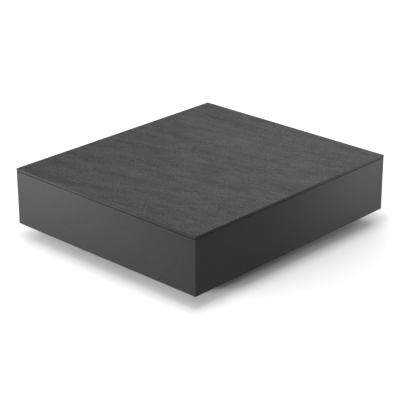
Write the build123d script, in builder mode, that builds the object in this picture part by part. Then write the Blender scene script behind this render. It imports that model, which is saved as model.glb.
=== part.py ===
"""Low rectangular coffee table: a thin granite slab on a mitred, lacquered box body, floating on a set-back plinth.

Frame: +Z up, origin on the floor under the middle of the table, X along the long side, Y along the short side.
The front is -Y, the left is -X. All sizes are in millimetres.
"""

import math
import os

from build123d import *

os.makedirs("parts", exist_ok=True)

# ---------------------------------------------------------------- driving dimensions
LENGTH = 1100.0  # overall, along X
WIDTH = 960.0  # overall, along Y
HEIGHT = 284.0  # floor to the slab's top face
FLOAT = 51.0  # floor to the lower edge of the side panels

SLAB_T = 10.0  # granite
SHADOW_GAP = 2.0  # open seam between the slab and the side panels
BUMPER_T = 1.0  # clear silicone dots that the slab lies on
SIDE_T = 19.0  # lacquered MDF sides
CORNER_R = 1.5  # eased vertical corners of the body
ARRIS = 0.8  # eased horizontal edges of the body

CARRIER_T = 19.0  # panel that carries the slab
BOTTOM_T = 16.0  # bottom panel
BOTTOM_RISE = 3.0  # the bottom panel sits this much above the sides' lower edge
TONGUE_T, TONGUE_L = 8.0, 7.5  # tongue round the bottom panel
GROOVE_D = 8.0  # groove for it in the sides

RIB_T = 16.0  # egg-crate ribs under the carrier
RIB_Y, RIB_X = 150.0, 190.0  # their distance from the middle
LEDGER_W, LEDGER_H = 25.0, 30.0  # battens under the carrier's rim
BLOCK = 40.0  # square glue blocks in the body's corners

PLINTH_L, PLINTH_W = 860.0, 720.0  # outer size of the set-back plinth
PLINTH_T = 18.0
PLINTH_LIFT = 6.0  # floor to the plinth's lower edge
FOOT_BLOCK, FOOT_BLOCK_H = 70.0, 30.0  # blocks that hold the levelling feet

STUD_R = 4.96  # M10 thread, modelled plain
NUT_BORE_R = 5.03
NUT_R, NUT_L = 7.0, 24.0
FLANGE_R, FLANGE_T = 12.0, 2.0
FOOT_TRAVEL = 12.0
PAD_R, PAD_T = 25.0, 5.0
FELT_R, FELT_T = 24.0, 2.5
BALL_R, BALL_Z = 5.0, 9.5
SOCKET_R = 5.08
HUB_R, HUB_TOP = 10.0, 13.5

FIT = 0.1  # small gap between joined boards

# ---------------------------------------------------------------- derived heights
SLAB_Z = HEIGHT - SLAB_T  # 274
SIDE_TOP = SLAB_Z - SHADOW_GAP  # 272
CARRIER_TOP = SLAB_Z - BUMPER_T  # 273
CARRIER_Z = CARRIER_TOP - CARRIER_T  # 254
BOTTOM_Z = FLOAT + BOTTOM_RISE  # 54
FLOOR_IN = BOTTOM_Z + BOTTOM_T  # 70, the inside floor
TONGUE_Z = BOTTOM_Z + 4.0  # 58
LEDGER_Z = CARRIER_Z - LEDGER_H  # 224
RIB_MID = (FLOOR_IN + CARRIER_Z) / 2  # 162, where the ribs cross

IN_L, IN_W = LENGTH - 2 * SIDE_T, WIDTH - 2 * SIDE_T  # 1062 x 922 inside the sides
PIN_L, PIN_W = PLINTH_L - 2 * PLINTH_T, PLINTH_W - 2 * PLINTH_T  # inside the plinth
FOOT_X = PIN_L / 2 - FOOT_BLOCK / 2
FOOT_Y = PIN_W / 2 - FOOT_BLOCK / 2
BLOCK_Z = BOTTOM_Z - FOOT_BLOCK_H  # 24
CORNERS = {"fl": (-1, -1), "fr": (1, -1), "bl": (-1, 1), "br": (1, 1)}


def save(part, name):
    """Labels a finished piece and writes it to its own STEP file."""
    part.label = name
    export_step(part, f"parts/{name}.step")
    bb = part.bounding_box()
    print(
        f"{name:22s} solids {len(part.solids()):3d}  "
        f"{bb.size.X:7.1f} x {bb.size.Y:7.1f} x {bb.size.Z:6.1f}  z {bb.min.Z:6.1f}..{bb.max.Z:6.1f}"
    )


# ---------------------------------------------------------------- fastener positions
# ledger screws: horizontal, through a ledger into the side panel behind it
LEDGER_SCREW_Z = LEDGER_Z + 11.0
LEDGER_SCREWS_X = (-450.0, -300.0, 0.0, 300.0, 450.0)  # along the front and back ledgers
LEDGER_SCREWS_Y = (-360.0, -60.0, 60.0, 360.0)  # along the left and right ledgers
SCREW_HEAD_R, SCREW_R, SCREW_L = 4.0, 2.0, 34.0
SINK = 0.3  # screw heads lie this far below the wood

# carrier screws: down through the carrier into ledgers and ribs
CARRIER_SCREW_L = 42.0
CARRIER_SCREWS = (
    [(x, s * (IN_W / 2 - LEDGER_W / 2)) for x in (-400.0, -100.0, 100.0, 400.0) for s in (-1, 1)]
    + [(s * (IN_L / 2 - LEDGER_W / 2), y) for y in (-250.0, 0.0, 250.0) for s in (-1, 1)]
    + [(x, s * RIB_Y) for x in (-360.0, 0.0, 360.0) for s in (-1, 1)]
    + [(s * RIB_X, y) for y in (-300.0, 0.0, 300.0) for s in (-1, 1)]
)

# bottom screws: up through the bottom panel into the ribs
BOTTOM_SCREW_L = 45.0
BOTTOM_SCREWS = [(x, s * RIB_Y) for x in (-330.0, -95.0, 95.0, 330.0) for s in (-1, 1)] + [
    (s * RIB_X, y) for y in (-270.0, 270.0) for s in (-1, 1)
]

# plinth screws: up through the foot blocks into the bottom panel
PLINTH_SCREW_L = 42.0
PLINTH_SCREWS = [
    (sx * FOOT_X + d, sy * FOOT_Y - sx * sy * d) for sx, sy in CORNERS.values() for d in (-23.0, 23.0)
]

BUMPERS = [
    (x, y)
    for x in (-500.0, -300.0, -100.0, 100.0, 300.0, 500.0)
    for y in (-430.0, -215.0, 0.0, 215.0, 430.0)
]


def screw_profile(head_r, shank_r, length, head_h=2.6):
    """Half outline of a countersunk wood screw whose head face is at 0 and whose point is at -length."""
    with BuildLine() as outline:
        Polyline(
            (0, 0),
            (head_r, 0),
            (head_r, -0.4),
            (shank_r, -head_h),
            (shank_r, -length + 5.0),
            (0.35, -length),
            (0, -length),
            close=True,
        )
    return outline.line


# one screw of each length, head up at the origin, with a cross recess
screw_sizes = {"short": SCREW_L, "carrier": CARRIER_SCREW_L, "bottom": BOTTOM_SCREW_L, "plinth": PLINTH_SCREW_L}
screws = {}
for size_name, length in screw_sizes.items():
    with BuildPart() as screw:
        with BuildSketch(Plane.XZ):
            add(screw_profile(SCREW_HEAD_R, SCREW_R, length))
            make_face()
        revolve(axis=Axis.Z)
        with BuildSketch(Plane.XY) as recess:
            Rectangle(4.0, 0.9)
            Rectangle(0.9, 4.0)
        extrude(amount=-1.8, mode=Mode.SUBTRACT)
    screws[size_name] = screw.part

# the room that each screw takes in the boards
holes = {}
for size_name, length in screw_sizes.items():
    with BuildPart() as hole:
        with BuildSketch(Plane.XZ):
            with BuildLine():
                Polyline(
                    (0, 0.6),
                    (SCREW_HEAD_R + 0.1, 0.6),
                    (SCREW_HEAD_R + 0.1, -0.45),
                    (SCREW_R + 0.05, -2.75),
                    (SCREW_R + 0.05, -length - 1.0),
                    (0, -length - 1.0),
                    close=True,
                )
            make_face()
        revolve(axis=Axis.Z)
    holes[size_name] = hole.part


def down(x, y, z):
    """Place of a screw whose head faces up at (x, y, z)."""
    return Location((x, y, z))


def up(x, y, z):
    """Place of a screw whose head faces down at (x, y, z)."""
    return Location((x, y, z), (180, 0, 0))


LEDGER_SCREW_PLACES = (
    [Location((x, -(IN_W / 2 - LEDGER_W) - SINK, LEDGER_SCREW_Z), (-90, 0, 0)) for x in LEDGER_SCREWS_X]
    + [Location((x, (IN_W / 2 - LEDGER_W) + SINK, LEDGER_SCREW_Z), (90, 0, 0)) for x in LEDGER_SCREWS_X]
    + [Location((-(IN_L / 2 - LEDGER_W) - SINK, y, LEDGER_SCREW_Z), (0, 90, 0)) for y in LEDGER_SCREWS_Y]
    + [Location(((IN_L / 2 - LEDGER_W) + SINK, y, LEDGER_SCREW_Z), (0, -90, 0)) for y in LEDGER_SCREWS_Y]
)
CARRIER_SCREW_PLACES = [down(x, y, CARRIER_TOP - SINK) for x, y in CARRIER_SCREWS]
BOTTOM_SCREW_PLACES = [up(x, y, BOTTOM_Z + SINK) for x, y in BOTTOM_SCREWS]
PLINTH_SCREW_PLACES = [up(x, y, BLOCK_Z + SINK) for x, y in PLINTH_SCREWS]


def moved(shape, places):
    """Copies of a shape at several places."""
    return [shape.moved(place) for place in places]


# ---------------------------------------------------------------- granite slab
with BuildPart() as slab:
    with BuildSketch(Plane.XY.offset(SLAB_Z)):
        RectangleRounded(LENGTH, WIDTH, 1.0)
    extrude(amount=SLAB_T)
    chamfer(slab.faces().sort_by(Axis.Z)[-1].edges(), 0.7)
    chamfer(slab.faces().sort_by(Axis.Z)[0].edges(), 0.5)
save(slab.part, "granite_top_slab")

# ---------------------------------------------------------------- silicone bumpers
with BuildPart() as bumpers:
    with BuildSketch(Plane.XY.offset(CARRIER_TOP)):
        with Locations(*BUMPERS):
            Circle(9.0)
    extrude(amount=BUMPER_T)
save(bumpers.part, "slab_bumpers")

# ---------------------------------------------------------------- body ring, later cut into four mitred sides
SPLINE_T, SPLINE_W = 4.0, 16.0
SPLINE_Z0, SPLINE_Z1 = FLOAT + 24.0, SIDE_TOP - 24.0
SPLINE_S = 17.0  # distance of the spline's middle from the outer corner, along the mitre

spline_slots = []
spline_bars = []
for sx, sy in CORNERS.values():
    cx = sx * (LENGTH / 2 - SPLINE_S / math.sqrt(2))
    cy = sy * (WIDTH / 2 - SPLINE_S / math.sqrt(2))
    turn = 45.0 if sx * sy > 0 else -45.0
    mid = (SPLINE_Z0 + SPLINE_Z1) / 2
    with BuildPart(Plane(origin=(cx, cy, mid), x_dir=(math.cos(math.radians(turn)), math.sin(math.radians(turn)), 0))) as bar:
        Box(SPLINE_T, SPLINE_W, SPLINE_Z1 - SPLINE_Z0)
    spline_bars.append(bar.part)
    with BuildPart(Plane(origin=(cx, cy, mid), x_dir=(math.cos(math.radians(turn)), math.sin(math.radians(turn)), 0))) as room:
        Box(SPLINE_T + FIT, SPLINE_W + 0.4, SPLINE_Z1 - SPLINE_Z0 + 1.0)
    spline_slots.append(room.part)

with BuildPart() as ring:
    with BuildSketch(Plane.XY.offset(FLOAT)):
        RectangleRounded(LENGTH, WIDTH, CORNER_R)
    extrude(amount=SIDE_TOP - FLOAT)
    fillet(ring.faces().sort_by(Axis.Z)[-1].edges() + ring.faces().sort_by(Axis.Z)[0].edges(), ARRIS)
    with BuildSketch(Plane.XY.offset(FLOAT - 1)):
        Rectangle(IN_L, IN_W)
    extrude(amount=SIDE_TOP - FLOAT + 2, mode=Mode.SUBTRACT)
    # groove for the bottom panel's tongue
    with BuildSketch(Plane.XY.offset(TONGUE_Z - FIT / 2)):
        Rectangle(IN_L + 2 * GROOVE_D, IN_W + 2 * GROOVE_D)
    extrude(amount=TONGUE_T + FIT, mode=Mode.SUBTRACT)
    # slots for the mitre splines and pilot holes for the ledger screws
    add(spline_slots, mode=Mode.SUBTRACT)
    add(moved(holes["short"], LEDGER_SCREW_PLACES), mode=Mode.SUBTRACT)

hl, hw = LENGTH / 2, WIDTH / 2
MITRES = {
    "side_panel_front": [(-hl, -hw), (hl, -hw), (0, -hw + hl)],
    "side_panel_back": [(hl, hw), (-hl, hw), (0, hw - hl)],
    "side_panel_left": [(-hl, hw), (-hl, -hw), (-hl + hw, 0)],
    "side_panel_right": [(hl, -hw), (hl, hw), (hl - hw, 0)],
}
for panel_name, triangle in MITRES.items():
    with BuildPart() as panel:
        add(ring.part)
        with BuildSketch(Plane.XY.offset(FLOAT - 5)):
            with BuildLine():
                Polyline(*triangle, close=True)
            make_face()
        extrude(amount=SIDE_TOP - FLOAT + 10, mode=Mode.INTERSECT)
    save(panel.part, panel_name)

with BuildPart() as splines:
    add(spline_bars)
save(splines.part, "mitre_splines")

# ---------------------------------------------------------------- bottom panel
with BuildPart() as bottom:
    with BuildSketch(Plane.XY.offset(BOTTOM_Z)):
        Rectangle(IN_L - 2 * FIT, IN_W - 2 * FIT)
    extrude(amount=BOTTOM_T)
    with BuildSketch(Plane.XY.offset(TONGUE_Z)):
        Rectangle(IN_L + 2 * TONGUE_L, IN_W + 2 * TONGUE_L)
    extrude(amount=TONGUE_T)
    add(moved(holes["bottom"], BOTTOM_SCREW_PLACES), mode=Mode.SUBTRACT)
    add(moved(holes["plinth"], PLINTH_SCREW_PLACES), mode=Mode.SUBTRACT)
save(bottom.part, "bottom_panel")

# ---------------------------------------------------------------- ribs, crossed by half laps
def rib(along_x, offset, slot_from_top):
    """One rib of the egg crate, notched round the ledgers and slotted where it crosses the other pair."""
    length = (IN_L if along_x else IN_W) - 2 * FIT
    end = length / 2
    crossings = (-RIB_X, RIB_X) if along_x else (-RIB_Y, RIB_Y)
    plane = Plane.XZ if along_x else Plane.YZ
    origin = (0, offset, 0) if along_x else (offset, 0, 0)
    face = Plane(origin=origin, x_dir=plane.x_dir, z_dir=plane.z_dir)
    notch_w, notch_h = LEDGER_W + FIT, LEDGER_H + FIT
    with BuildPart() as board:
        with BuildSketch(face):
            with BuildLine():
                Polyline(
                    (-end, FLOOR_IN),
                    (end, FLOOR_IN),
                    (end, CARRIER_Z - notch_h),
                    (end - notch_w + FIT, CARRIER_Z - notch_h),
                    (end - notch_w + FIT, CARRIER_Z),
                    (-end + notch_w - FIT, CARRIER_Z),
                    (-end + notch_w - FIT, CARRIER_Z - notch_h),
                    (-end, CARRIER_Z - notch_h),
                    close=True,
                )
            make_face()
            slot_z = (RIB_MID + CARRIER_Z + 1) / 2 if slot_from_top else (RIB_MID + FLOOR_IN - 1) / 2
            slot_h = (CARRIER_Z - FLOOR_IN) / 2 + 1
            with Locations(*[(c, slot_z) for c in crossings]):
                Rectangle(RIB_T + 2 * FIT, slot_h, mode=Mode.SUBTRACT)
        extrude(amount=RIB_T / 2, both=True)
        add(moved(holes["carrier"], CARRIER_SCREW_PLACES), mode=Mode.SUBTRACT)
        add(moved(holes["bottom"], BOTTOM_SCREW_PLACES), mode=Mode.SUBTRACT)
    return board.part


save(rib(True, -RIB_Y, True), "rib_long_front")
save(rib(True, RIB_Y, True), "rib_long_back")
save(rib(False, -RIB_X, False), "rib_cross_left")
save(rib(False, RIB_X, False), "rib_cross_right")

# ---------------------------------------------------------------- ledgers under the carrier's rim
def ledger(x, y, length, depth):
    """One batten, with the holes of the screws that pass through it."""
    with BuildPart() as batten:
        with BuildSketch(Plane.XY.offset(LEDGER_Z)):
            with Locations((x, y)):
                Rectangle(length, depth)
        extrude(amount=LEDGER_H)
        add(moved(holes["short"], LEDGER_SCREW_PLACES), mode=Mode.SUBTRACT)
        add(moved(holes["carrier"], CARRIER_SCREW_PLACES), mode=Mode.SUBTRACT)
    return batten.part


ledger_x, ledger_y = IN_L / 2 - LEDGER_W / 2, IN_W / 2 - LEDGER_W / 2
save(ledger(0, -ledger_y, IN_L, LEDGER_W), "ledger_front")
save(ledger(0, ledger_y, IN_L, LEDGER_W), "ledger_back")
save(ledger(-ledger_x, 0, LEDGER_W, IN_W - 2 * LEDGER_W), "ledger_left")
save(ledger(ledger_x, 0, LEDGER_W, IN_W - 2 * LEDGER_W), "ledger_right")

# ---------------------------------------------------------------- glue blocks in the corners
for tag, (sx, sy) in CORNERS.items():
    with BuildPart() as glue_block:
        with BuildSketch(Plane.XY.offset(FLOOR_IN)):
            with Locations((sx * (IN_L / 2 - BLOCK / 2), sy * (IN_W / 2 - BLOCK / 2))):
                Rectangle(BLOCK, BLOCK)
        extrude(amount=LEDGER_Z - FLOOR_IN)
        inner = glue_block.edges().filter_by(Axis.Z).sort_by(
            lambda e: -(sx * e.center().X + sy * e.center().Y)
        )[-1]
        chamfer(inner, 12.0)
    save(glue_block.part, f"glue_block_{tag}")

# ---------------------------------------------------------------- carrier panel under the slab
with BuildPart() as carrier:
    with BuildSketch(Plane.XY.offset(CARRIER_Z)):
        Rectangle(IN_L - 2 * FIT, IN_W - 2 * FIT)
    extrude(amount=CARRIER_T)
    chamfer(carrier.faces().sort_by(Axis.Z)[-1].outer_wire().edges(), 0.5)
    add(moved(holes["carrier"], CARRIER_SCREW_PLACES), mode=Mode.SUBTRACT)
save(carrier.part, "carrier_panel")

# ---------------------------------------------------------------- plinth
DOWEL_R, DOWEL_L = 4.0, 35.0
DOWEL_IN = 13.0  # depth in the front and back rails
DOWEL_ZS = (20.0, 42.0)
dowel_places = [
    (x, sy * (PIN_W / 2 + DOWEL_IN - DOWEL_L / 2), z)
    for x in (-(PLINTH_L / 2 - PLINTH_T / 2), 0.0, PLINTH_L / 2 - PLINTH_T / 2)
    for sy in (-1, 1)
    for z in DOWEL_ZS
]
with BuildPart() as dowels:
    with Locations(*dowel_places):
        Cylinder(DOWEL_R, DOWEL_L - 0.6, rotation=(90, 0, 0))
    chamfer(dowels.edges().filter_by(GeomType.CIRCLE), 0.6)
save(dowels.part, "plinth_dowels")

with BuildPart() as dowel_rooms:
    with Locations(*dowel_places):
        Cylinder(DOWEL_R + 0.05, DOWEL_L, rotation=(90, 0, 0))


def plinth_board(x, y, length, depth):
    """One board of the plinth, arrises eased, bored for its dowels."""
    with BuildPart() as board:
        with BuildSketch(Plane.XY.offset(PLINTH_LIFT)):
            with Locations((x, y)):
                Rectangle(length, depth)
        extrude(amount=BOTTOM_Z - PLINTH_LIFT)
        chamfer(board.faces().sort_by(Axis.Z)[0].edges(), 0.8)
        add(dowel_rooms.part, mode=Mode.SUBTRACT)
    return board.part


rail_y, rail_x = PLINTH_W / 2 - PLINTH_T / 2, PLINTH_L / 2 - PLINTH_T / 2
save(plinth_board(0, -rail_y, PLINTH_L, PLINTH_T), "plinth_rail_front")
save(plinth_board(0, rail_y, PLINTH_L, PLINTH_T), "plinth_rail_back")
save(plinth_board(-rail_x, 0, PLINTH_T, PIN_W), "plinth_rail_left")
save(plinth_board(rail_x, 0, PLINTH_T, PIN_W), "plinth_rail_right")
save(plinth_board(0, 0, PLINTH_T, PIN_W), "plinth_stretcher")

# ---------------------------------------------------------------- foot blocks and their threaded inserts
for tag, (sx, sy) in CORNERS.items():
    with BuildPart() as foot_block:
        with BuildSketch(Plane.XY.offset(BLOCK_Z)):
            with Locations((sx * FOOT_X, sy * FOOT_Y)):
                Rectangle(FOOT_BLOCK, FOOT_BLOCK)
        extrude(amount=FOOT_BLOCK_H)
        with BuildSketch(Plane.XY.offset(BLOCK_Z)):
            with Locations((sx * FOOT_X, sy * FOOT_Y)):
                Circle(NUT_R)
        extrude(amount=NUT_L + 1.0, mode=Mode.SUBTRACT)
        add(moved(holes["plinth"], PLINTH_SCREW_PLACES), mode=Mode.SUBTRACT)
    save(foot_block.part, f"foot_block_{tag}")

foot_centres = [(sx * FOOT_X, sy * FOOT_Y) for sx, sy in CORNERS.values()]
with BuildPart() as inserts:
    with BuildSketch(Plane.XY.offset(BLOCK_Z - FLANGE_T)):
        with Locations(*foot_centres):
            Circle(FLANGE_R)
    extrude(amount=FLANGE_T)
    with BuildSketch(Plane.XY.offset(BLOCK_Z)):
        with Locations(*foot_centres):
            Circle(NUT_R)
    extrude(amount=NUT_L)
    with BuildSketch(Plane.XY.offset(BLOCK_Z - FLANGE_T)):
        with Locations(*foot_centres):
            Circle(NUT_BORE_R)
    extrude(amount=NUT_L + FLANGE_T, mode=Mode.SUBTRACT)
save(inserts.part, "foot_inserts")

# ---------------------------------------------------------------- levelling feet
STUD_TOP = BLOCK_Z + NUT_L - 2.0  # 46
HEX_Z, HEX_H, HEX_AF = 15.9, 6.0, 17.0

for tag, (sx, sy) in CORNERS.items():
    here = (sx * FOOT_X, sy * FOOT_Y)

    with BuildPart() as felt:
        with BuildSketch(Plane.XY):
            with Locations(here):
                Circle(FELT_R)
        extrude(amount=FELT_T)
    save(felt.part, f"foot_felt_{tag}")

    with BuildPart() as pad:
        with BuildSketch(Plane(origin=(here[0], here[1], 0), x_dir=(1, 0, 0), z_dir=(0, -1, 0))):
            with BuildLine():
                top_z = BALL_Z + 2.5
                top_x = math.sqrt(SOCKET_R**2 - 2.5**2)
                mid_a = (math.asin(2.5 / SOCKET_R) - math.pi / 2) / 2
                Polyline(
                    (0, BALL_Z - SOCKET_R),
                    (0, FELT_T),
                    (PAD_R - 1.0, FELT_T),
                    (PAD_R, FELT_T + 1.0),
                    (PAD_R, FELT_T + PAD_T - 2.0),
                    (PAD_R - 2.0, FELT_T + PAD_T),
                    (HUB_R, FELT_T + PAD_T),
                    (HUB_R, HUB_TOP - 0.8),
                    (HUB_R - 0.8, HUB_TOP),
                    (top_x + 1.2, HUB_TOP),
                    (top_x, top_z),
                )
                ThreePointArc(
                    (top_x, top_z),
                    (SOCKET_R * math.cos(mid_a), BALL_Z + SOCKET_R * math.sin(mid_a)),
                    (0, BALL_Z - SOCKET_R),
                )
            make_face()
        revolve(axis=Axis((here[0], here[1], 0), (0, 0, 1)))
    save(pad.part, f"foot_pad_{tag}")

    with BuildPart() as stud:
        with BuildSketch(Plane(origin=(here[0], here[1], 0), x_dir=(1, 0, 0), z_dir=(0, -1, 0))):
            with BuildLine():
                neck_r = 3.0
                neck_z = BALL_Z + math.sqrt(BALL_R**2 - neck_r**2)
                ThreePointArc((0, BALL_Z - BALL_R), (BALL_R, BALL_Z), (neck_r, neck_z))
                Polyline(
                    (neck_r, neck_z),
                    (neck_r, HEX_Z + HEX_H),
                    (STUD_R, HEX_Z + HEX_H),
                    (STUD_R, STUD_TOP - 1.2),
                    (STUD_R - 1.2, STUD_TOP),
                    (0, STUD_TOP),
                    (0, BALL_Z - BALL_R),
                )
            make_face()
        revolve(axis=Axis((here[0], here[1], 0), (0, 0, 1)))
        with BuildSketch(Plane.XY.offset(HEX_Z)):
            with Locations(here):
                RegularPolygon(HEX_AF / 2, 6, major_radius=False)
        extrude(amount=HEX_H)
        # screwdriver slot in the top end
        with BuildSketch(Plane.XY.offset(STUD_TOP)):
            with Locations(here):
                Rectangle(11.0, 1.4)
        extrude(amount=-2.0, mode=Mode.SUBTRACT)
    save(stud.part, f"foot_stud_{tag}")

# ---------------------------------------------------------------- screws, one node for each job
for group_name, size_name, places in (
    ("ledger_screws", "short", LEDGER_SCREW_PLACES),
    ("carrier_screws", "carrier", CARRIER_SCREW_PLACES),
    ("bottom_screws", "bottom", BOTTOM_SCREW_PLACES),
    ("plinth_screws", "plinth", PLINTH_SCREW_PLACES),
):
    with BuildPart() as group:
        add(moved(screws[size_name], places))
    save(group.part, group_name)
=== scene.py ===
import math

import bmesh
import bpy
import numpy as np
from mathutils import Matrix, Vector, noise


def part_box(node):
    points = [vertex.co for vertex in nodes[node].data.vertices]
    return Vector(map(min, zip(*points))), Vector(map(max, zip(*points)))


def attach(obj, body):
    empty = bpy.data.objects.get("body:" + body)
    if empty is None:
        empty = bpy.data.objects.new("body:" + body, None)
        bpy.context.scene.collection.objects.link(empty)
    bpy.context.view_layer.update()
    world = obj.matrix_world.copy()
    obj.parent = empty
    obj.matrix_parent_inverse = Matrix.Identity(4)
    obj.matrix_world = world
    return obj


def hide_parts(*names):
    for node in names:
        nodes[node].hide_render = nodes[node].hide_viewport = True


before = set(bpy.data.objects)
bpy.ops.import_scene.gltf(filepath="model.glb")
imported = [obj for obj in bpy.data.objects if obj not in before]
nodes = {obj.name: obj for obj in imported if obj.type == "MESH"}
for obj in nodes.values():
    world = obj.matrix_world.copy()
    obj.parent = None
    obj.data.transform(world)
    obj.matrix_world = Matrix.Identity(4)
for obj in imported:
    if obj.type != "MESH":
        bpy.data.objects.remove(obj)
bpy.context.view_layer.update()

scene = bpy.context.scene
BODY = "table"

# ------------------------------------------------------------------ colour management and world
scene.view_settings.view_transform = "Standard"
scene.view_settings.look = "None"
scene.view_settings.exposure = 0.0
scene.view_settings.gamma = 1.0

world = bpy.data.worlds.new("studio")
scene.world = world
world.use_nodes = True
world.node_tree.nodes["Background"].inputs["Color"].default_value = (1.0, 1.0, 1.0, 1.0)
world.node_tree.nodes["Background"].inputs["Strength"].default_value = 0.444


# ------------------------------------------------------------------ material helpers
class Mat:
    """A small helper round one node tree: every surface is painted with procedural nodes in object space."""

    def __init__(self, name, rough=0.5, spec=0.5, metal=0.0, ior=1.5):
        self.m = bpy.data.materials.new(name)
        self.m.use_nodes = True
        self.t = self.m.node_tree
        self.b = self.t.nodes["Principled BSDF"]
        self.b.inputs["Roughness"].default_value = rough
        self.b.inputs["Metallic"].default_value = metal
        self.b.inputs["IOR"].default_value = ior
        self.b.inputs["Specular IOR Level"].default_value = spec
        self.co = self.t.nodes.new("ShaderNodeTexCoord").outputs["Object"]

    def node(self, kind, **inputs):
        n = self.t.nodes.new(kind)
        for k, v in inputs.items():
            self.set(n, k, v)
        return n

    def set(self, n, key, v):
        sock = n.inputs[key] if not isinstance(key, int) else n.inputs[key]
        if isinstance(v, bpy.types.NodeSocket):
            self.t.links.new(v, sock)
        else:
            sock.default_value = v

    def mapping(self, rot=(0, 0, 0), scale=(1, 1, 1), loc=(0, 0, 0), src=None):
        n = self.t.nodes.new("ShaderNodeMapping")
        self.t.links.new(src or self.co, n.inputs["Vector"])
        n.inputs["Rotation"].default_value = rot
        n.inputs["Scale"].default_value = scale
        n.inputs["Location"].default_value = loc
        return n.outputs["Vector"]

    def noise(self, vec, scale, detail=4.0, rough=0.5, distort=0.0):
        n = self.t.nodes.new("ShaderNodeTexNoise")
        n.normalize = True
        self.t.links.new(vec, n.inputs["Vector"])
        n.inputs["Scale"].default_value = scale
        n.inputs["Detail"].default_value = detail
        n.inputs["Roughness"].default_value = rough
        n.inputs["Distortion"].default_value = distort
        return n.outputs["Fac"]

    def voronoi(self, vec, scale, feature="F1", out="Distance", rand=1.0):
        n = self.t.nodes.new("ShaderNodeTexVoronoi")
        n.feature = feature
        self.t.links.new(vec, n.inputs["Vector"])
        n.inputs["Scale"].default_value = scale
        n.inputs["Randomness"].default_value = rand
        return n.outputs[out]

    def math(self, op, a, b=0.0, c=None, clamp=False):
        n = self.t.nodes.new("ShaderNodeMath")
        n.operation = op
        n.use_clamp = clamp
        self.set(n, 0, a)
        self.set(n, 1, b)
        if c is not None:
            self.set(n, 2, c)
        return n.outputs[0]

    def remap(self, v, a, b, c, d, clamp=True, smooth=False):
        n = self.t.nodes.new("ShaderNodeMapRange")
        n.clamp = clamp
        if smooth:
            n.interpolation_type = "SMOOTHSTEP"
        self.set(n, "Value", v)
        for k, val in zip(("From Min", "From Max", "To Min", "To Max"), (a, b, c, d)):
            n.inputs[k].default_value = val
        return n.outputs["Result"]

    def ramp(self, v, stops):
        n = self.t.nodes.new("ShaderNodeValToRGB")
        self.t.links.new(v, n.inputs["Fac"])
        e = n.color_ramp.elements
        while len(e) < len(stops):
            e.new(0.5)
        for el, (p, c) in zip(e, stops):
            el.position = p
            el.color = (*c, 1.0)
        return n.outputs["Color"]

    def mix(self, fac, a, b, blend="MIX"):
        n = self.t.nodes.new("ShaderNodeMix")
        n.data_type = "RGBA"
        n.blend_type = blend
        n.clamp_factor = True
        self.set(n, 0, fac)
        for key, v in ((6, a), (7, b)):
            if isinstance(v, bpy.types.NodeSocket):
                self.t.links.new(v, n.inputs[key])
            else:
                n.inputs[key].default_value = (*v, 1.0)
        return n.outputs[2]

    def grey(self, v):
        """A grey colour from a value."""
        n = self.t.nodes.new("ShaderNodeCombineColor")
        for i in range(3):
            self.t.links.new(v, n.inputs[i])
        return n.outputs[0]

    def bump(self, height, strength, dist, normal=None):
        n = self.t.nodes.new("ShaderNodeBump")
        self.t.links.new(height, n.inputs["Height"])
        n.inputs["Strength"].default_value = strength
        n.inputs["Distance"].default_value = dist
        if normal is not None:
            self.t.links.new(normal, n.inputs["Normal"])
        return n.outputs["Normal"]

    def out(self, **kw):
        for k, v in kw.items():
            self.set(self.b, k.replace("_", " "), v)
        return self.m


# ------------------------------------------------------------------ materials
STONE = 0.0320
STONE_EDGE = 0.0238
LACQUER = 0.0205


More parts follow.
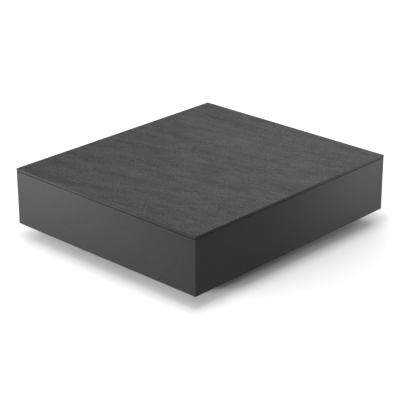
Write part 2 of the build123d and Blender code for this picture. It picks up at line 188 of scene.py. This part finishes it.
def granite():
    """Honed dark granite: soft banding across the short side, mottle, salt-and-pepper grain and a few mica flecks."""
    s = Mat("granite_honed", rough=0.55, spec=0.05)
    turned = s.mapping(rot=(0, 0, -math.radians(10)), loc=(2.7, 1.9, 0.0))
    bands = s.noise(s.mapping(src=turned, scale=(1.0, 0.17, 1.0)), 22.0, 2.0, 0.5, 0.5)  # 30 to 60 mm wide, a few hundred mm long
    threads = s.noise(s.mapping(src=turned, scale=(1.0, 0.34, 1.0), loc=(0.3, 0.1, 0.0)), 62.0, 3.0, 0.6, 0.4)  # short narrow streaks
    hairs = s.noise(s.mapping(src=turned, scale=(1.0, 0.2, 1.0), loc=(0.7, 0.2, 0.0)), 115.0, 2.0, 0.5, 0.2)  # fine lines, 9 mm apart
    mottle = s.noise(turned, 9.0, 4.0, 0.55, 0.6)
    grain = s.noise(s.mapping(src=turned, scale=(1.0, 0.5, 1.0)), 190.0, 2.0, 0.75)
    salt = s.noise(s.mapping(src=turned, scale=(1.0, 0.6, 1.0)), 360.0, 2.0, 0.7)
    v = s.math("MULTIPLY_ADD", s.math("SUBTRACT", bands, 0.5), 0.70, 1.0)
    for part, weight in ((threads, 0.52), (hairs, 0.85), (mottle, 0.42), (grain, 1.75), (salt, 3.30)):
        v = s.math("ADD", v, s.math("MULTIPLY", s.math("SUBTRACT", part, 0.5), weight))
    cell = s.voronoi(s.co, 85.0)
    pick = s.noise(s.mapping(loc=(3.1, 1.7, 0.4)), 23.0, 2.0, 0.5)
    fleck = s.math("MULTIPLY", s.remap(cell, 0.06, 0.19, 1.0, 0.0), s.remap(pick, 0.53, 0.62, 0.0, 1.0))
    v = s.math("ADD", v, s.math("MULTIPLY", fleck, 3.2))
    # the four edges are ground smooth: darker and calmer than the honed face
    facing = s.t.nodes.new("ShaderNodeSeparateXYZ")
    s.t.links.new(s.t.nodes.new("ShaderNodeTexCoord").outputs["Normal"], facing.inputs[0])
    face = s.remap(facing.outputs["Z"], 0.35, 0.75, 0.0, 1.0)
    calm = s.math("MULTIPLY", s.math("MULTIPLY_ADD", s.math("SUBTRACT", v, 1.0), 0.35, 1.0), STONE_EDGE)
    honed = s.math("MULTIPLY", v, STONE)
    base = s.math("ADD", calm, s.math("MULTIPLY", face, s.math("SUBTRACT", honed, calm)))
    # painted shade: the faces of the eased arris are darkened to a fifth of the stone tone, so the top edge reads as a
    # thin dark line
    arris_shade = s.math("MULTIPLY", s.remap(facing.outputs["Z"], 0.06, 0.16, 0.0, 1.0), s.remap(facing.outputs["Z"], 0.975, 0.995, 1.0, 0.0))
    base = s.math("MULTIPLY", base, s.math("MULTIPLY_ADD", arris_shade, -0.8, 1.0), clamp=True)
    rough = s.remap(bands, 0.3, 0.7, 0.58, 0.52)
    relief = s.math("ADD", s.math("MULTIPLY", grain, 0.6), s.math("MULTIPLY", threads, 0.6))
    normal = s.bump(relief, 0.35, 0.0006)
    normal = s.bump(salt, 0.2, 0.0003, normal)
    return s.out(Base_Color=s.grey(base), Roughness=rough, Normal=normal)


def lacquer():
    """Satin graphite structure lacquer: even colour, faint cloudiness, a fine speckle and orange peel."""
    s = Mat("satin_lacquer", rough=0.52, spec=0.075)
    cloud = s.noise(s.co, 6.0, 3.0, 0.5)
    fine = s.noise(s.co, 185.0, 2.0, 0.7)
    peel = s.noise(s.co, 420.0, 2.0, 0.5)
    v = s.math("MULTIPLY_ADD", s.math("SUBTRACT", cloud, 0.5), 0.05, 1.0)
    v = s.math("ADD", v, s.math("MULTIPLY", s.math("SUBTRACT", fine, 0.5), 1.3))
    base = s.math("MULTIPLY", v, LACQUER, clamp=True)
    rough = s.remap(fine, 0.3, 0.7, 0.49, 0.55)
    normal = s.bump(peel, 0.12, 0.0004)
    return s.out(Base_Color=s.grey(base), Roughness=rough, Normal=normal)


def flat_board(name, tone, rough=0.6, fibre=0.15):
    """Painted or faced board with a faint fibre."""
    s = Mat(name, rough=rough, spec=0.35)
    fine = s.noise(s.co, 260.0, 3.0, 0.6)
    cloud = s.noise(s.co, 11.0, 3.0, 0.5)
    v = s.math("MULTIPLY_ADD", s.math("SUBTRACT", fine, 0.5), fibre, 1.0)
    v = s.math("ADD", v, s.math("MULTIPLY", s.math("SUBTRACT", cloud, 0.5), 0.2))
    base = s.math("MULTIPLY", v, tone, clamp=True)
    normal = s.bump(fine, 0.2, 0.0004)
    return s.out(Base_Color=s.grey(base), Normal=normal, Roughness=s.remap(cloud, 0.3, 0.7, rough - 0.06, rough + 0.06))


def timber(name, along, light, dark, rough=0.55, scale=1.0):
    """Planed wood with its grain along one axis."""
    s = Mat(name, rough=rough, spec=0.35)
    squeeze = {"x": (0.09, 1, 1), "y": (1, 0.09, 1), "z": (1, 1, 0.09)}[along]
    run = s.mapping(scale=squeeze)
    rings = s.noise(run, 38.0 * scale, 3.0, 0.55, 1.4)
    pores = s.noise(s.mapping(scale=tuple(0.25 if q < 1 else q for q in squeeze)), 380.0, 2.0, 0.6)
    colour = s.ramp(rings, [(0.32, dark), (0.5, light), (0.62, tuple(0.86 * c for c in light)), (0.75, light)])
    colour = s.mix(s.remap(pores, 0.35, 0.5, 0.35, 0.0), colour, tuple(0.55 * c for c in dark))
    normal = s.bump(s.math("ADD", rings, s.math("MULTIPLY", pores, 0.4)), 0.25, 0.0005)
    return s.out(Base_Color=colour, Normal=normal)


def plywood(name, thick):
    """Birch plywood: plies seen on the edges, laid along the thickness axis."""
    s = Mat(name, rough=0.6, spec=0.3)
    sep = s.t.nodes.new("ShaderNodeSeparateXYZ")
    s.t.links.new(s.co, sep.inputs[0])
    t = sep.outputs["XYZ".index(thick.upper())]
    ply = s.math("PINGPONG", s.math("MULTIPLY", t, 1.0 / 0.0028), 1.0)
    grain = s.noise(s.mapping(scale=(0.2, 0.2, 1.0) if thick != "z" else (0.1, 1.0, 1.0)), 90.0, 4.0, 0.6, 0.8)
    colour = s.ramp(grain, [(0.3, (0.50, 0.35, 0.21)), (0.55, (0.66, 0.50, 0.33)), (0.8, (0.72, 0.57, 0.40))])
    colour = s.mix(s.remap(ply, 0.42, 0.58, 0.0, 0.38, smooth=True), colour, (0.36, 0.23, 0.13))
    normal = s.bump(grain, 0.2, 0.0004)
    return s.out(Base_Color=colour, Normal=normal)


def zinc():
    """Zinc-plated steel with a fine spangle."""
    s = Mat("zinc_plated_steel", rough=0.33, spec=0.5, metal=1.0)
    spangle = s.voronoi(s.co, 900.0, out="Color")
    soft = s.noise(s.co, 500.0, 3.0, 0.6)
    colour = s.mix(s.remap(soft, 0.35, 0.65, 0.0, 1.0), (0.50, 0.51, 0.53), (0.66, 0.67, 0.68))
    colour = s.mix(0.06, colour, spangle)
    return s.out(Base_Color=colour, Roughness=s.remap(soft, 0.3, 0.7, 0.26, 0.42), Normal=s.bump(soft, 0.12, 0.0002))


def nylon():
    s = Mat("black_nylon", rough=0.45, spec=0.45)
    fine = s.noise(s.co, 900.0, 2.0, 0.6)
    base = s.math("MULTIPLY", s.math("ADD", 0.75, s.math("MULTIPLY", fine, 0.5)), 0.017)
    return s.out(Base_Color=s.grey(base), Normal=s.bump(fine, 0.25, 0.0002), Roughness=s.remap(fine, 0.3, 0.7, 0.38, 0.52))


def felt():
    s = Mat("wool_felt", rough=0.95, spec=0.1)
    fibre = s.noise(s.co, 700.0, 5.0, 0.75, 1.5)
    clump = s.noise(s.co, 160.0, 3.0, 0.6)
    colour = s.mix(fibre, (0.05, 0.048, 0.046), (0.21, 0.20, 0.19))
    colour = s.mix(s.remap(clump, 0.35, 0.65, 0.0, 0.4), colour, (0.12, 0.115, 0.11))
    s.b.inputs["Sheen Weight"].default_value = 0.4
    return s.out(Base_Color=colour, Normal=s.bump(fibre, 0.8, 0.0008))


def silicone():
    s = Mat("clear_silicone", rough=0.3, spec=0.4, ior=1.41)
    soft = s.noise(s.co, 300.0, 2.0, 0.5)
    s.b.inputs["Transmission Weight"].default_value = 0.35
    base = s.math("MULTIPLY_ADD", soft, 0.12, 0.52)
    return s.out(Base_Color=s.grey(base), Normal=s.bump(soft, 0.1, 0.0002))


MATS = {
    "granite": granite(),
    "lacquer": lacquer(),
    "black_board": flat_board("black_faced_board", 0.020, 0.5),
    "plinth": flat_board("matt_black_paint", 0.016, 0.62),
    "ply_x": plywood("birch_plywood_x", "x"),
    "ply_y": plywood("birch_plywood_y", "y"),
    "ply_z": plywood("birch_plywood_z", "z"),
    "pine_x": timber("planed_pine_x", "x", (0.70, 0.52, 0.32), (0.50, 0.31, 0.16)),
    "pine_y": timber("planed_pine_y", "y", (0.70, 0.52, 0.32), (0.50, 0.31, 0.16)),
    "pine_z": timber("planed_pine_z", "z", (0.70, 0.52, 0.32), (0.50, 0.31, 0.16)),
    "beech_y": timber("beech_y", "y", (0.58, 0.38, 0.24), (0.44, 0.26, 0.15), scale=3.0),
    "beech_z": timber("beech_z", "z", (0.58, 0.38, 0.24), (0.44, 0.26, 0.15), scale=3.0),
    "zinc": zinc(),
    "nylon": nylon(),
    "felt": felt(),
    "silicone": silicone(),
}

PAINT = {
    "granite_top_slab": "granite", "slab_bumpers": "silicone", "carrier_panel": "black_board", "bottom_panel": "black_board",
    "mitre_splines": "beech_z", "plinth_dowels": "beech_y", "foot_inserts": "zinc", "ledger_screws": "zinc",
    "carrier_screws": "zinc", "bottom_screws": "zinc", "plinth_screws": "zinc", "plinth_stretcher": "plinth",
    "rib_long_front": "ply_y", "rib_long_back": "ply_y", "rib_cross_left": "ply_x", "rib_cross_right": "ply_x",
    "ledger_front": "pine_x", "ledger_back": "pine_x", "ledger_left": "pine_y", "ledger_right": "pine_y",
}
for k in ("front", "back", "left", "right"):
    PAINT["side_panel_" + k] = "lacquer"
    PAINT["plinth_rail_" + k] = "plinth"
for k in ("fl", "fr", "bl", "br"):
    PAINT["glue_block_" + k] = "pine_z"
    PAINT["foot_block_" + k] = "ply_z"
    PAINT["foot_pad_" + k] = "nylon"
    PAINT["foot_stud_" + k] = "zinc"
    PAINT["foot_felt_" + k] = "felt"

for name, obj in nodes.items():
    obj.data.materials.clear()
    obj.data.materials.append(MATS[PAINT[name]])

# ------------------------------------------------------------------ mesh helpers
def shell(name, verts, faces, mat, sharp=38.0):
    """One closed mesh from rows of vertices and faces, smooth except over sharp edges."""
    me = bpy.data.meshes.new(name)
    me.from_pydata([tuple(map(float, v)) for v in verts], [], [tuple(map(int, f)) for f in faces])
    me.validate()
    me.update()
    me.shade_smooth()
    me.set_sharp_from_angle(angle=math.radians(sharp))
    me.materials.append(MATS[mat])
    ob = bpy.data.objects.new(name, me)
    scene.collection.objects.link(ob)
    return ob


def stack(rings, low, high):
    """Closed skin over rings of points, all with the same count, with one pole point at each end."""
    n = len(rings[0])
    verts = [low] + [p for ring in rings for p in ring] + [high]
    faces = [(0, 1 + (j + 1) % n, 1 + j) for j in range(n)]
    for i in range(len(rings) - 1):
        a, b = 1 + i * n, 1 + (i + 1) * n
        faces += [(a + j, a + (j + 1) % n, b + (j + 1) % n, b + j) for j in range(n)]
    last, end = 1 + (len(rings) - 1) * n, len(verts) - 1
    faces += [(last + j, last + (j + 1) % n, end) for j in range(n)]
    return np.array(verts, float), faces


def round_rings(rows, n):
    """Rings from (z, radius) rows; a radius may be a number or a function of the angle."""
    rings = []
    for z, r in rows:
        ring = []
        for j in range(n):
            a = 2 * math.pi * j / n
            rr = r(a) if callable(r) else r
            ring.append((rr * math.cos(a), rr * math.sin(a), z))
        rings.append(ring)
    return rings


def hexagon(af):
    """Radius of a hexagon, by its width across flats, with a corner at angle 0."""
    return lambda a: (af / 2) / math.cos((a % (math.pi / 3)) - math.pi / 6)


def slot(a):
    """Radius of a screwdriver slot 6.8 mm long and 1.4 mm wide."""
    return min(3.4 / max(abs(math.cos(a)), 1e-6), 0.7 / max(abs(math.sin(a)), 1e-6)) * MM


def thread(z0, z1, major, minor, pitch, step, run=1.0, flat=0.2):
    """Rows of a helical thread from z0 up to z1; its depth grows from nothing over the first and last run."""
    rows = []
    count = int(round((z1 - z0) / step))
    for i in range(count + 1):
        z = z0 + (z1 - z0) * i / count
        fade = min(1.0, (z - z0) / run, (z1 - z) / run)

        def radius(a, z=z, fade=fade):
            p = (z / pitch - a / (2 * math.pi)) % 1.0
            tooth = min(1.0, max(0.0, (abs(2 * p - 1) - flat / 2) / (1 - flat)))
            return major - (major - minor) * (tooth * fade + (1 - fade) * 0.5)

        rows.append((z, radius))
    return rows


def turned(points, pose):
    """Points moved by a 4x4 matrix."""
    m = np.array(pose)
    return points @ m[:3, :3].T + m[:3, 3]


def many(name, verts, faces, poses, mat, sharp=38.0):
    """The same closed shell at several places, in one object."""
    all_v, all_f = [], []
    for pose in poses:
        k = sum(len(v) for v in all_v)
        all_v.append(turned(verts, pose))
        all_f += [tuple(i + k for i in f) for f in faces]
    return shell(name, np.concatenate(all_v), all_f, mat, sharp)


def arc(cx, cz, r, a0, a1, n):
    """(z, radius) rows along a circular arc, angles in degrees from the radial direction."""
    out = []
    for i in range(n + 1):
        a = math.radians(a0 + (a1 - a0) * i / n)
        out.append((cz + r * math.sin(a), cx + r * math.cos(a)))
    return out


MM = 0.001
CORNERS = {"fl": (-1, -1), "fr": (1, -1), "bl": (-1, 1), "br": (1, 1)}
FOOT = {}
for tag in CORNERS:
    lo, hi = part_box("foot_felt_" + tag)
    FOOT[tag] = ((lo.x + hi.x) / 2, (lo.y + hi.y) / 2)

# ------------------------------------------------------------------ the granite slab, with its honed relief and eased arrises
lo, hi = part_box("granite_top_slab")
bm = bmesh.new()
nx, ny = 110, 96
grid = [[bm.verts.new((lo.x + (hi.x - lo.x) * i / nx, lo.y + (hi.y - lo.y) * j / ny, hi.z)) for j in range(ny + 1)] for i in range(nx + 1)]
for i in range(nx):
    for j in range(ny):
        bm.faces.new((grid[i][j], grid[i + 1][j], grid[i + 1][j + 1], grid[i][j + 1]))
rim = [grid[i][0] for i in range(nx)] + [grid[nx][j] for j in range(ny)] + [grid[i][ny] for i in range(nx, 0, -1)] + [grid[0][j] for j in range(ny, 0, -1)]
foot_rim = [bm.verts.new((v.co.x, v.co.y, lo.z)) for v in rim]
for k in range(len(rim)):
    m = (k + 1) % len(rim)
    bm.faces.new((rim[m], rim[k], foot_rim[k], foot_rim[m]))
bm.faces.new(list(reversed(foot_rim)))
bm.normal_update()
crisp = [e for e in bm.edges if len(e.link_faces) == 2 and e.calc_face_angle() > math.radians(60)]
bmesh.ops.bevel(bm, geom=crisp, offset=0.5 * MM, segments=3, profile=0.5, affect="EDGES", clamp_overlap=True)
for v in bm.verts:
    inside = min(v.co.x - lo.x, hi.x - v.co.x, v.co.y - lo.y, hi.y - v.co.y)
    if v.co.z > hi.z - 0.01 * MM and inside > 3 * MM:
        u = v.co.x * math.cos(math.radians(10)) + v.co.y * math.sin(math.radians(10))
        w = -v.co.x * math.sin(math.radians(10)) + v.co.y * math.cos(math.radians(10))
        wave = noise.fractal(Vector((u * 16.0, w * 4.0, 0.7)), 1.0, 2.0, 3)
        v.co.z += 0.10 * MM * max(-1.0, min(1.0, wave)) - 0.10 * MM
stone_mesh = bpy.data.meshes.new("granite_slab")
bm.to_mesh(stone_mesh)
bm.free()
stone_mesh.shade_smooth()
stone_mesh.set_sharp_from_angle(angle=math.radians(12))
stone_mesh.materials.append(MATS["granite"])
stone = bpy.data.objects.new("granite_slab", stone_mesh)
scene.collection.objects.link(stone)
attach(stone, BODY)
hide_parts("granite_top_slab")

# ------------------------------------------------------------------ levelling feet
for tag, (fx, fy) in FOOT.items():
    at = Matrix.Translation((fx, fy, 0.0))
    # stud: ball, neck, chamfered hexagon, M10 x 1.5 thread and a slot in its top end
    rows = [(r[0] * MM, r[1] * MM) for r in arc(0, 9.5, 5.0, -84, 53.13, 11)]
    rows += [(13.9 * MM, 3.0 * MM), (15.9 * MM, 3.0 * MM)]
    hexa = hexagon(17.0 * MM)
    for z, cut in ((15.9, 0.0), (16.15, 0.45), (16.6, 1.3), (17.6, 3.0), (20.2, 3.0), (21.2, 1.3), (21.65, 0.45), (21.9, 0.0)):
        rows.append((z * MM, lambda a, c=cut: min(hexa(a), (8.35 + c) * MM)))
    rows += [(21.9 * MM, 4.55 * MM)]
    rows += thread(21.95 * MM, 45.0 * MM, 4.96 * MM, 4.15 * MM, 1.5 * MM, 0.25 * MM, run=1.0 * MM)
    rows += [(45.3 * MM, 4.3 * MM), (46.0 * MM, 3.6 * MM), (46.0 * MM, slot), (44.0 * MM, slot)]
    verts, faces = stack(round_rings(rows, 36), (0, 0, 4.5 * MM), (0, 0, 44.0 * MM))
    stud = shell("levelling_stud_" + tag, turned(verts, at), faces, "zinc", 30)
    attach(stud, "stud_" + tag)
    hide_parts("foot_stud_" + tag)

    # pad: moulded nylon disc with a rounded rim, a raised hub and the ball socket
    socket = 5.08
    rows = [(2.5 * MM, 12.0 * MM), (2.5 * MM, 24.2 * MM)] + [(z * MM, r * MM) for z, r in arc(24.2, 3.3, 0.8, -60, 0, 2)]
    rows += [(5.2 * MM, 25.0 * MM)] + [(z * MM, r * MM) for z, r in arc(24.2, 5.2, 0.8, 20, 70, 2)]
    rows += [(6.1 * MM, 23.6 * MM), (6.4 * MM, 20.0 * MM), (7.0 * MM, 12.6 * MM), (7.3 * MM, 11.2 * MM), (7.9 * MM, 10.4 * MM)]
    rows += [(8.8 * MM, 10.0 * MM), (12.7 * MM, 9.8 * MM)] + [(z * MM, r * MM) for z, r in arc(9.0, 12.7, 0.8, 20, 90, 3)]
    rows += [(13.5 * MM, 6.4 * MM), (13.3 * MM, 5.9 * MM), (12.9 * MM, 5.5 * MM), (12.0 * MM, math.sqrt(socket**2 - 2.5**2) * MM)]
    rows += [(z * MM, r * MM) for z, r in arc(0, 9.5, socket, 22, -84, 12)]
    verts, faces = stack(round_rings(rows, 64), (0, 0, 2.5 * MM), (0, 0, (9.5 - socket) * MM))
    pad = shell("glide_pad_" + tag, turned(verts, at), faces, "nylon", 40)
    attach(pad, "foot_" + tag)
    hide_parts("foot_pad_" + tag)

    # felt: pressed disc with a soft, slightly ragged rim
    rows = [(0.0, r * MM) for r in (6.0, 12.0, 18.0, 22.6)]
    rows += [(z * MM, r * MM) for z, r in ((0.15, 23.4), (0.6, 23.85), (1.25, 24.0), (1.9, 23.85), (2.35, 23.4), (2.5, 22.6))]
    rows += [(2.5 * MM, r * MM) for r in (18.0, 12.0, 6.0)]
    rings = round_rings(rows, 96)
    for i, ring in enumerate(rings):
        for j, (x, y, z) in enumerate(ring):
            if 3 < i < 9:
                k = 1.0 - 0.012 * (0.5 + 0.5 * noise.noise(Vector((x * 900 + fx * 50, y * 900 + fy * 50, z * 900))))
                ring[j] = (x * k, y * k, z)
    verts, faces = stack(rings, (0, 0, 0), (0, 0, 2.5 * MM))
    disc = shell("felt_disc_" + tag, turned(verts, at), faces, "felt", 60)
    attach(disc, "foot_" + tag)
    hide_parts("foot_felt_" + tag)

# ------------------------------------------------------------------ silicone bumpers, domed dots
lo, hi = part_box("slab_bumpers")
dot_rows = [(0.0, 8.6 * MM), (0.12 * MM, 9.0 * MM), (0.45 * MM, 8.7 * MM), (0.75 * MM, 7.6 * MM), (0.93 * MM, 5.8 * MM), (1.0 * MM, 3.6 * MM)]
verts, faces = stack(round_rings(dot_rows, 28), (0, 0, 0), (0, 0, 1.0 * MM))
spots = [Matrix.Translation((x * MM, y * MM, lo.z)) for x in (-500, -300, -100, 100, 300, 500) for y in (-430, -215, 0, 215, 430)]
dots = many("silicone_dots", verts, faces, spots, "silicone", 50)
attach(dots, BODY)
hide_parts("slab_bumpers")


# ------------------------------------------------------------------ wood screws with a cross recess and a real thread
def cross(a):
    """Radius of a cross recess 4 mm long with arms 0.9 mm wide."""
    c, s = abs(math.cos(a)), abs(math.sin(a))
    one = min(2.0 / max(c, 1e-6), 0.45 / max(s, 1e-6))
    two = min(2.0 / max(s, 1e-6), 0.45 / max(c, 1e-6))
    return max(one, two) * MM


def wood_screw(length):
    rows = [(-length * MM, 0.25 * MM), ((-length + 1.2) * MM, 0.75 * MM)]
    rows += thread((-length + 1.4) * MM, (-0.38 * length) * MM, 2.0 * MM, 1.25 * MM, 1.8 * MM, 0.45 * MM, run=1.6 * MM, flat=0.5)
    rows += [((-0.38 * length + 0.3) * MM, 1.62 * MM), (-3.0 * MM, 1.62 * MM), (-2.6 * MM, 2.0 * MM), (-0.4 * MM, 3.92 * MM), (-0.12 * MM, 4.0 * MM), (0.0, 3.85 * MM)]
    rows += [(0.0, cross), (-1.2 * MM, lambda a: 0.86 * cross(a)), (-1.8 * MM, lambda a: 0.5 * cross(a))]
    return stack(round_rings(rows, 16), (0, 0, -length * MM), (0, 0, -1.8 * MM))


def screw_places():
    """Head places of each screw group, heads facing local +Z, from the boxes of the boards that they hold."""
    ledge_lo, ledge_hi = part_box("ledger_front")
    screw_lo, screw_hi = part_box("ledger_screws")
    z = (screw_lo.z + screw_hi.z) / 2
    sink = 0.3 * MM
    yf = ledge_hi.y - sink
    left_lo, left_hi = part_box("ledger_left")
    xl = left_hi.x - sink
    out = {"ledger_screws": [], "carrier_screws": [], "bottom_screws": [], "plinth_screws": []}
    for x in (-450, -300, 0, 300, 450):
        out["ledger_screws"] += [
            Matrix.Translation((x * MM, yf, z)) @ Matrix.Rotation(math.radians(-90), 4, "X"),
            Matrix.Translation((x * MM, -yf, z)) @ Matrix.Rotation(math.radians(90), 4, "X"),
        ]
    for y in (-360, -60, 60, 360):
        out["ledger_screws"] += [
            Matrix.Translation((xl, y * MM, z)) @ Matrix.Rotation(math.radians(90), 4, "Y"),
            Matrix.Translation((-xl, y * MM, z)) @ Matrix.Rotation(math.radians(-90), 4, "Y"),
        ]
    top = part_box("carrier_screws")[1].z
    sy, sx = (ledge_lo.y + ledge_hi.y) / 2, (left_lo.x + left_hi.x) / 2
    for s in (-1, 1):
        out["carrier_screws"] += [Matrix.Translation((x * MM, s * sy, top)) for x in (-400, -100, 100, 400)]
        out["carrier_screws"] += [Matrix.Translation((s * sx, y * MM, top)) for y in (-250, 0, 250)]
        out["carrier_screws"] += [Matrix.Translation((x * MM, s * 150 * MM, top)) for x in (-360, 0, 360)]
        out["carrier_screws"] += [Matrix.Translation((s * 190 * MM, y * MM, top)) for y in (-300, 0, 300)]
    flip = Matrix.Rotation(math.pi, 4, "X")
    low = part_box("bottom_screws")[0].z
    for s in (-1, 1):
        out["bottom_screws"] += [Matrix.Translation((x * MM, s * 150 * MM, low)) @ flip for x in (-330, -95, 95, 330)]
        out["bottom_screws"] += [Matrix.Translation((s * 190 * MM, y * MM, low)) @ flip for y in (-270, 270)]
    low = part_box("plinth_screws")[0].z
    for tag, (sx_, sy_) in CORNERS.items():
        fx, fy = FOOT[tag]
        for d in (-23 * MM, 23 * MM):
            out["plinth_screws"].append(Matrix.Translation((fx + d, fy - sx_ * sy_ * d, low)) @ flip)
    return out


LENGTHS = {"ledger_screws": 34.0, "carrier_screws": 42.0, "bottom_screws": 45.0, "plinth_screws": 42.0}
for group, poses in screw_places().items():
    verts, faces = wood_screw(LENGTHS[group])
    ob = many(group.replace("screws", "wood_screws"), verts, faces, poses, "zinc", 32)
    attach(ob, BODY)
    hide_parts(group)

# ------------------------------------------------------------------ fluted beech dowels
lo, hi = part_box("plinth_dowels")
half = 17.2


def fluted(r, depth=0.22):
    return lambda a: (r - depth * max(0.0, math.cos(14 * a)) ** 2) * MM


rows = [(-half * MM, 3.2 * MM), ((-half + 0.2) * MM, 3.5 * MM), ((-half + 0.8) * MM, 3.95 * MM), ((-half + 1.4) * MM, fluted(4.0)),
        (0.0, fluted(4.0)), ((half - 1.4) * MM, fluted(4.0)), ((half - 0.8) * MM, 3.95 * MM), ((half - 0.2) * MM, 3.5 * MM), (half * MM, 3.2 * MM)]
verts, faces = stack(round_rings(rows, 84), (0, 0, -half * MM), (0, 0, half * MM))
lie = Matrix.Rotation(math.radians(90), 4, "X")
poses = []
dx, dy = hi.x - 4.0 * MM, hi.y - half * MM
for x in (-dx, 0.0, dx):
    for y in (-dy, dy):
        for z in (lo.z + 4.0 * MM, hi.z - 4.0 * MM):
            poses.append(Matrix.Translation((x, y, z)) @ lie)
ob = many("fluted_dowels", verts, faces, poses, "beech_y", 30)
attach(ob, BODY)
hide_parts("plinth_dowels")

# ------------------------------------------------------------------ floor
floor_mesh = bpy.data.meshes.new("studio_floor")
bm = bmesh.new()
bmesh.ops.create_grid(bm, x_segments=8, y_segments=8, size=9.0)
bm.to_mesh(floor_mesh)
bm.free()
floor = bpy.data.objects.new("studio_floor", floor_mesh)
scene.collection.objects.link(floor)
floor_mat = Mat("studio_floor_white", rough=0.9, spec=0.0)
floor_mat.b.inputs["Base Color"].default_value = (0.9, 0.9, 0.9, 1)
floor_mesh.materials.append(floor_mat.m)


# ------------------------------------------------------------------ lights
def softbox(name, loc, aim, size, power, spread=180.0):
    """An area light aimed at a point; it isn't seen by the camera itself. A small spread is a honeycomb grid."""
    lamp = bpy.data.lights.new(name, "AREA")
    lamp.shape = "RECTANGLE"
    lamp.size, lamp.size_y = size
    lamp.energy = power
    lamp.spread = math.radians(spread)
    o = bpy.data.objects.new(name, lamp)
    o.location = loc
    o.rotation_euler = (Vector(aim) - Vector(loc)).to_track_quat("-Z", "Y").to_euler()
    o.visible_camera = False
    scene.collection.objects.link(o)
    return o


softbox("overhead", (0, 0, 2.0), (0, 0, 0), (1.2, 1.2), 11.8)
softbox("overhead_spot", (0, 0, 4.0), (0, 0, 0), (0.5, 0.5), 33.2)
softbox("front_spot", (-0.6, -0.5, 2.0), (-0.6, -0.5, 0), (0.3, 0.3), 7.58)
softbox("back", (3.0, 3.0, 3.0), (2.6, 2.6, 0), (3.0, 3.0), 95.8)
softbox("left_high", (-3.0, 3.0, 3.0), (-2.6, 2.6, 0), (3.0, 3.0), 29.2)
softbox("front_high", (-3.0, -3.0, 3.4), (-2.6, -2.6, 0), (3.0, 3.0), 12.4)
softbox("right_back", (2.4, 0.2, 1.3), (0, 0, 0.2), (1.6, 1.6), 17.8)
softbox("right_far", (3.4, 2.2, 1.5), (-0.5, -0.4, 0.28), (1.2, 0.8), 8.14)
softbox("left_grid", (-2.2, 1.6, 0.35), (-0.55, 0.35, 0.30), (1.0, 0.5), 11.7, 45.8)
softbox("left_under", (-2.4, -1.0, 0.7), (-0.55, -0.4, 0), (0.5, 0.3), 0.511, 22.9)
softbox("right_strip", (1.7, -2.3, 0.05), (0.5, -0.48, 0.22), (0.6, 0.06), 1.8, 25.8)
softbox("right_strip_near", (1.3, -1.05, 0.16), (0.53, -0.48, 0.15), (0.35, 0.12), 0.169, 34.4)
# gridded lamps that only whiten the far floor on the other three sides
for name, x, y in (("floor_left", -2.6, 2.6), ("floor_front", -2.6, -2.6), ("floor_right", 2.6, -2.6)):
    softbox(name, (x, y, 1.4), (x, y, 0), (2.6, 2.6), 90.0, 80.0)

# ------------------------------------------------------------------ camera
AZ, EL, DIST = math.radians(-46.889), math.radians(22.640), 5.542
target = Vector((-0.0603, -0.0434, 0.150))
back = Vector((math.sin(AZ) * math.cos(EL), -math.cos(AZ) * math.cos(EL), math.sin(EL)))
cam = bpy.data.cameras.new("camera")
cam.lens = 36.0 * 1406.6 / 400.0
cam.sensor_width = 36.0
cam.clip_end = 60.0
camera = bpy.data.objects.new("camera", cam)
camera.location = target + back * DIST
camera.rotation_euler = (-back).to_track_quat("-Z", "Y").to_euler()
scene.collection.objects.link(camera)
scene.camera = camera
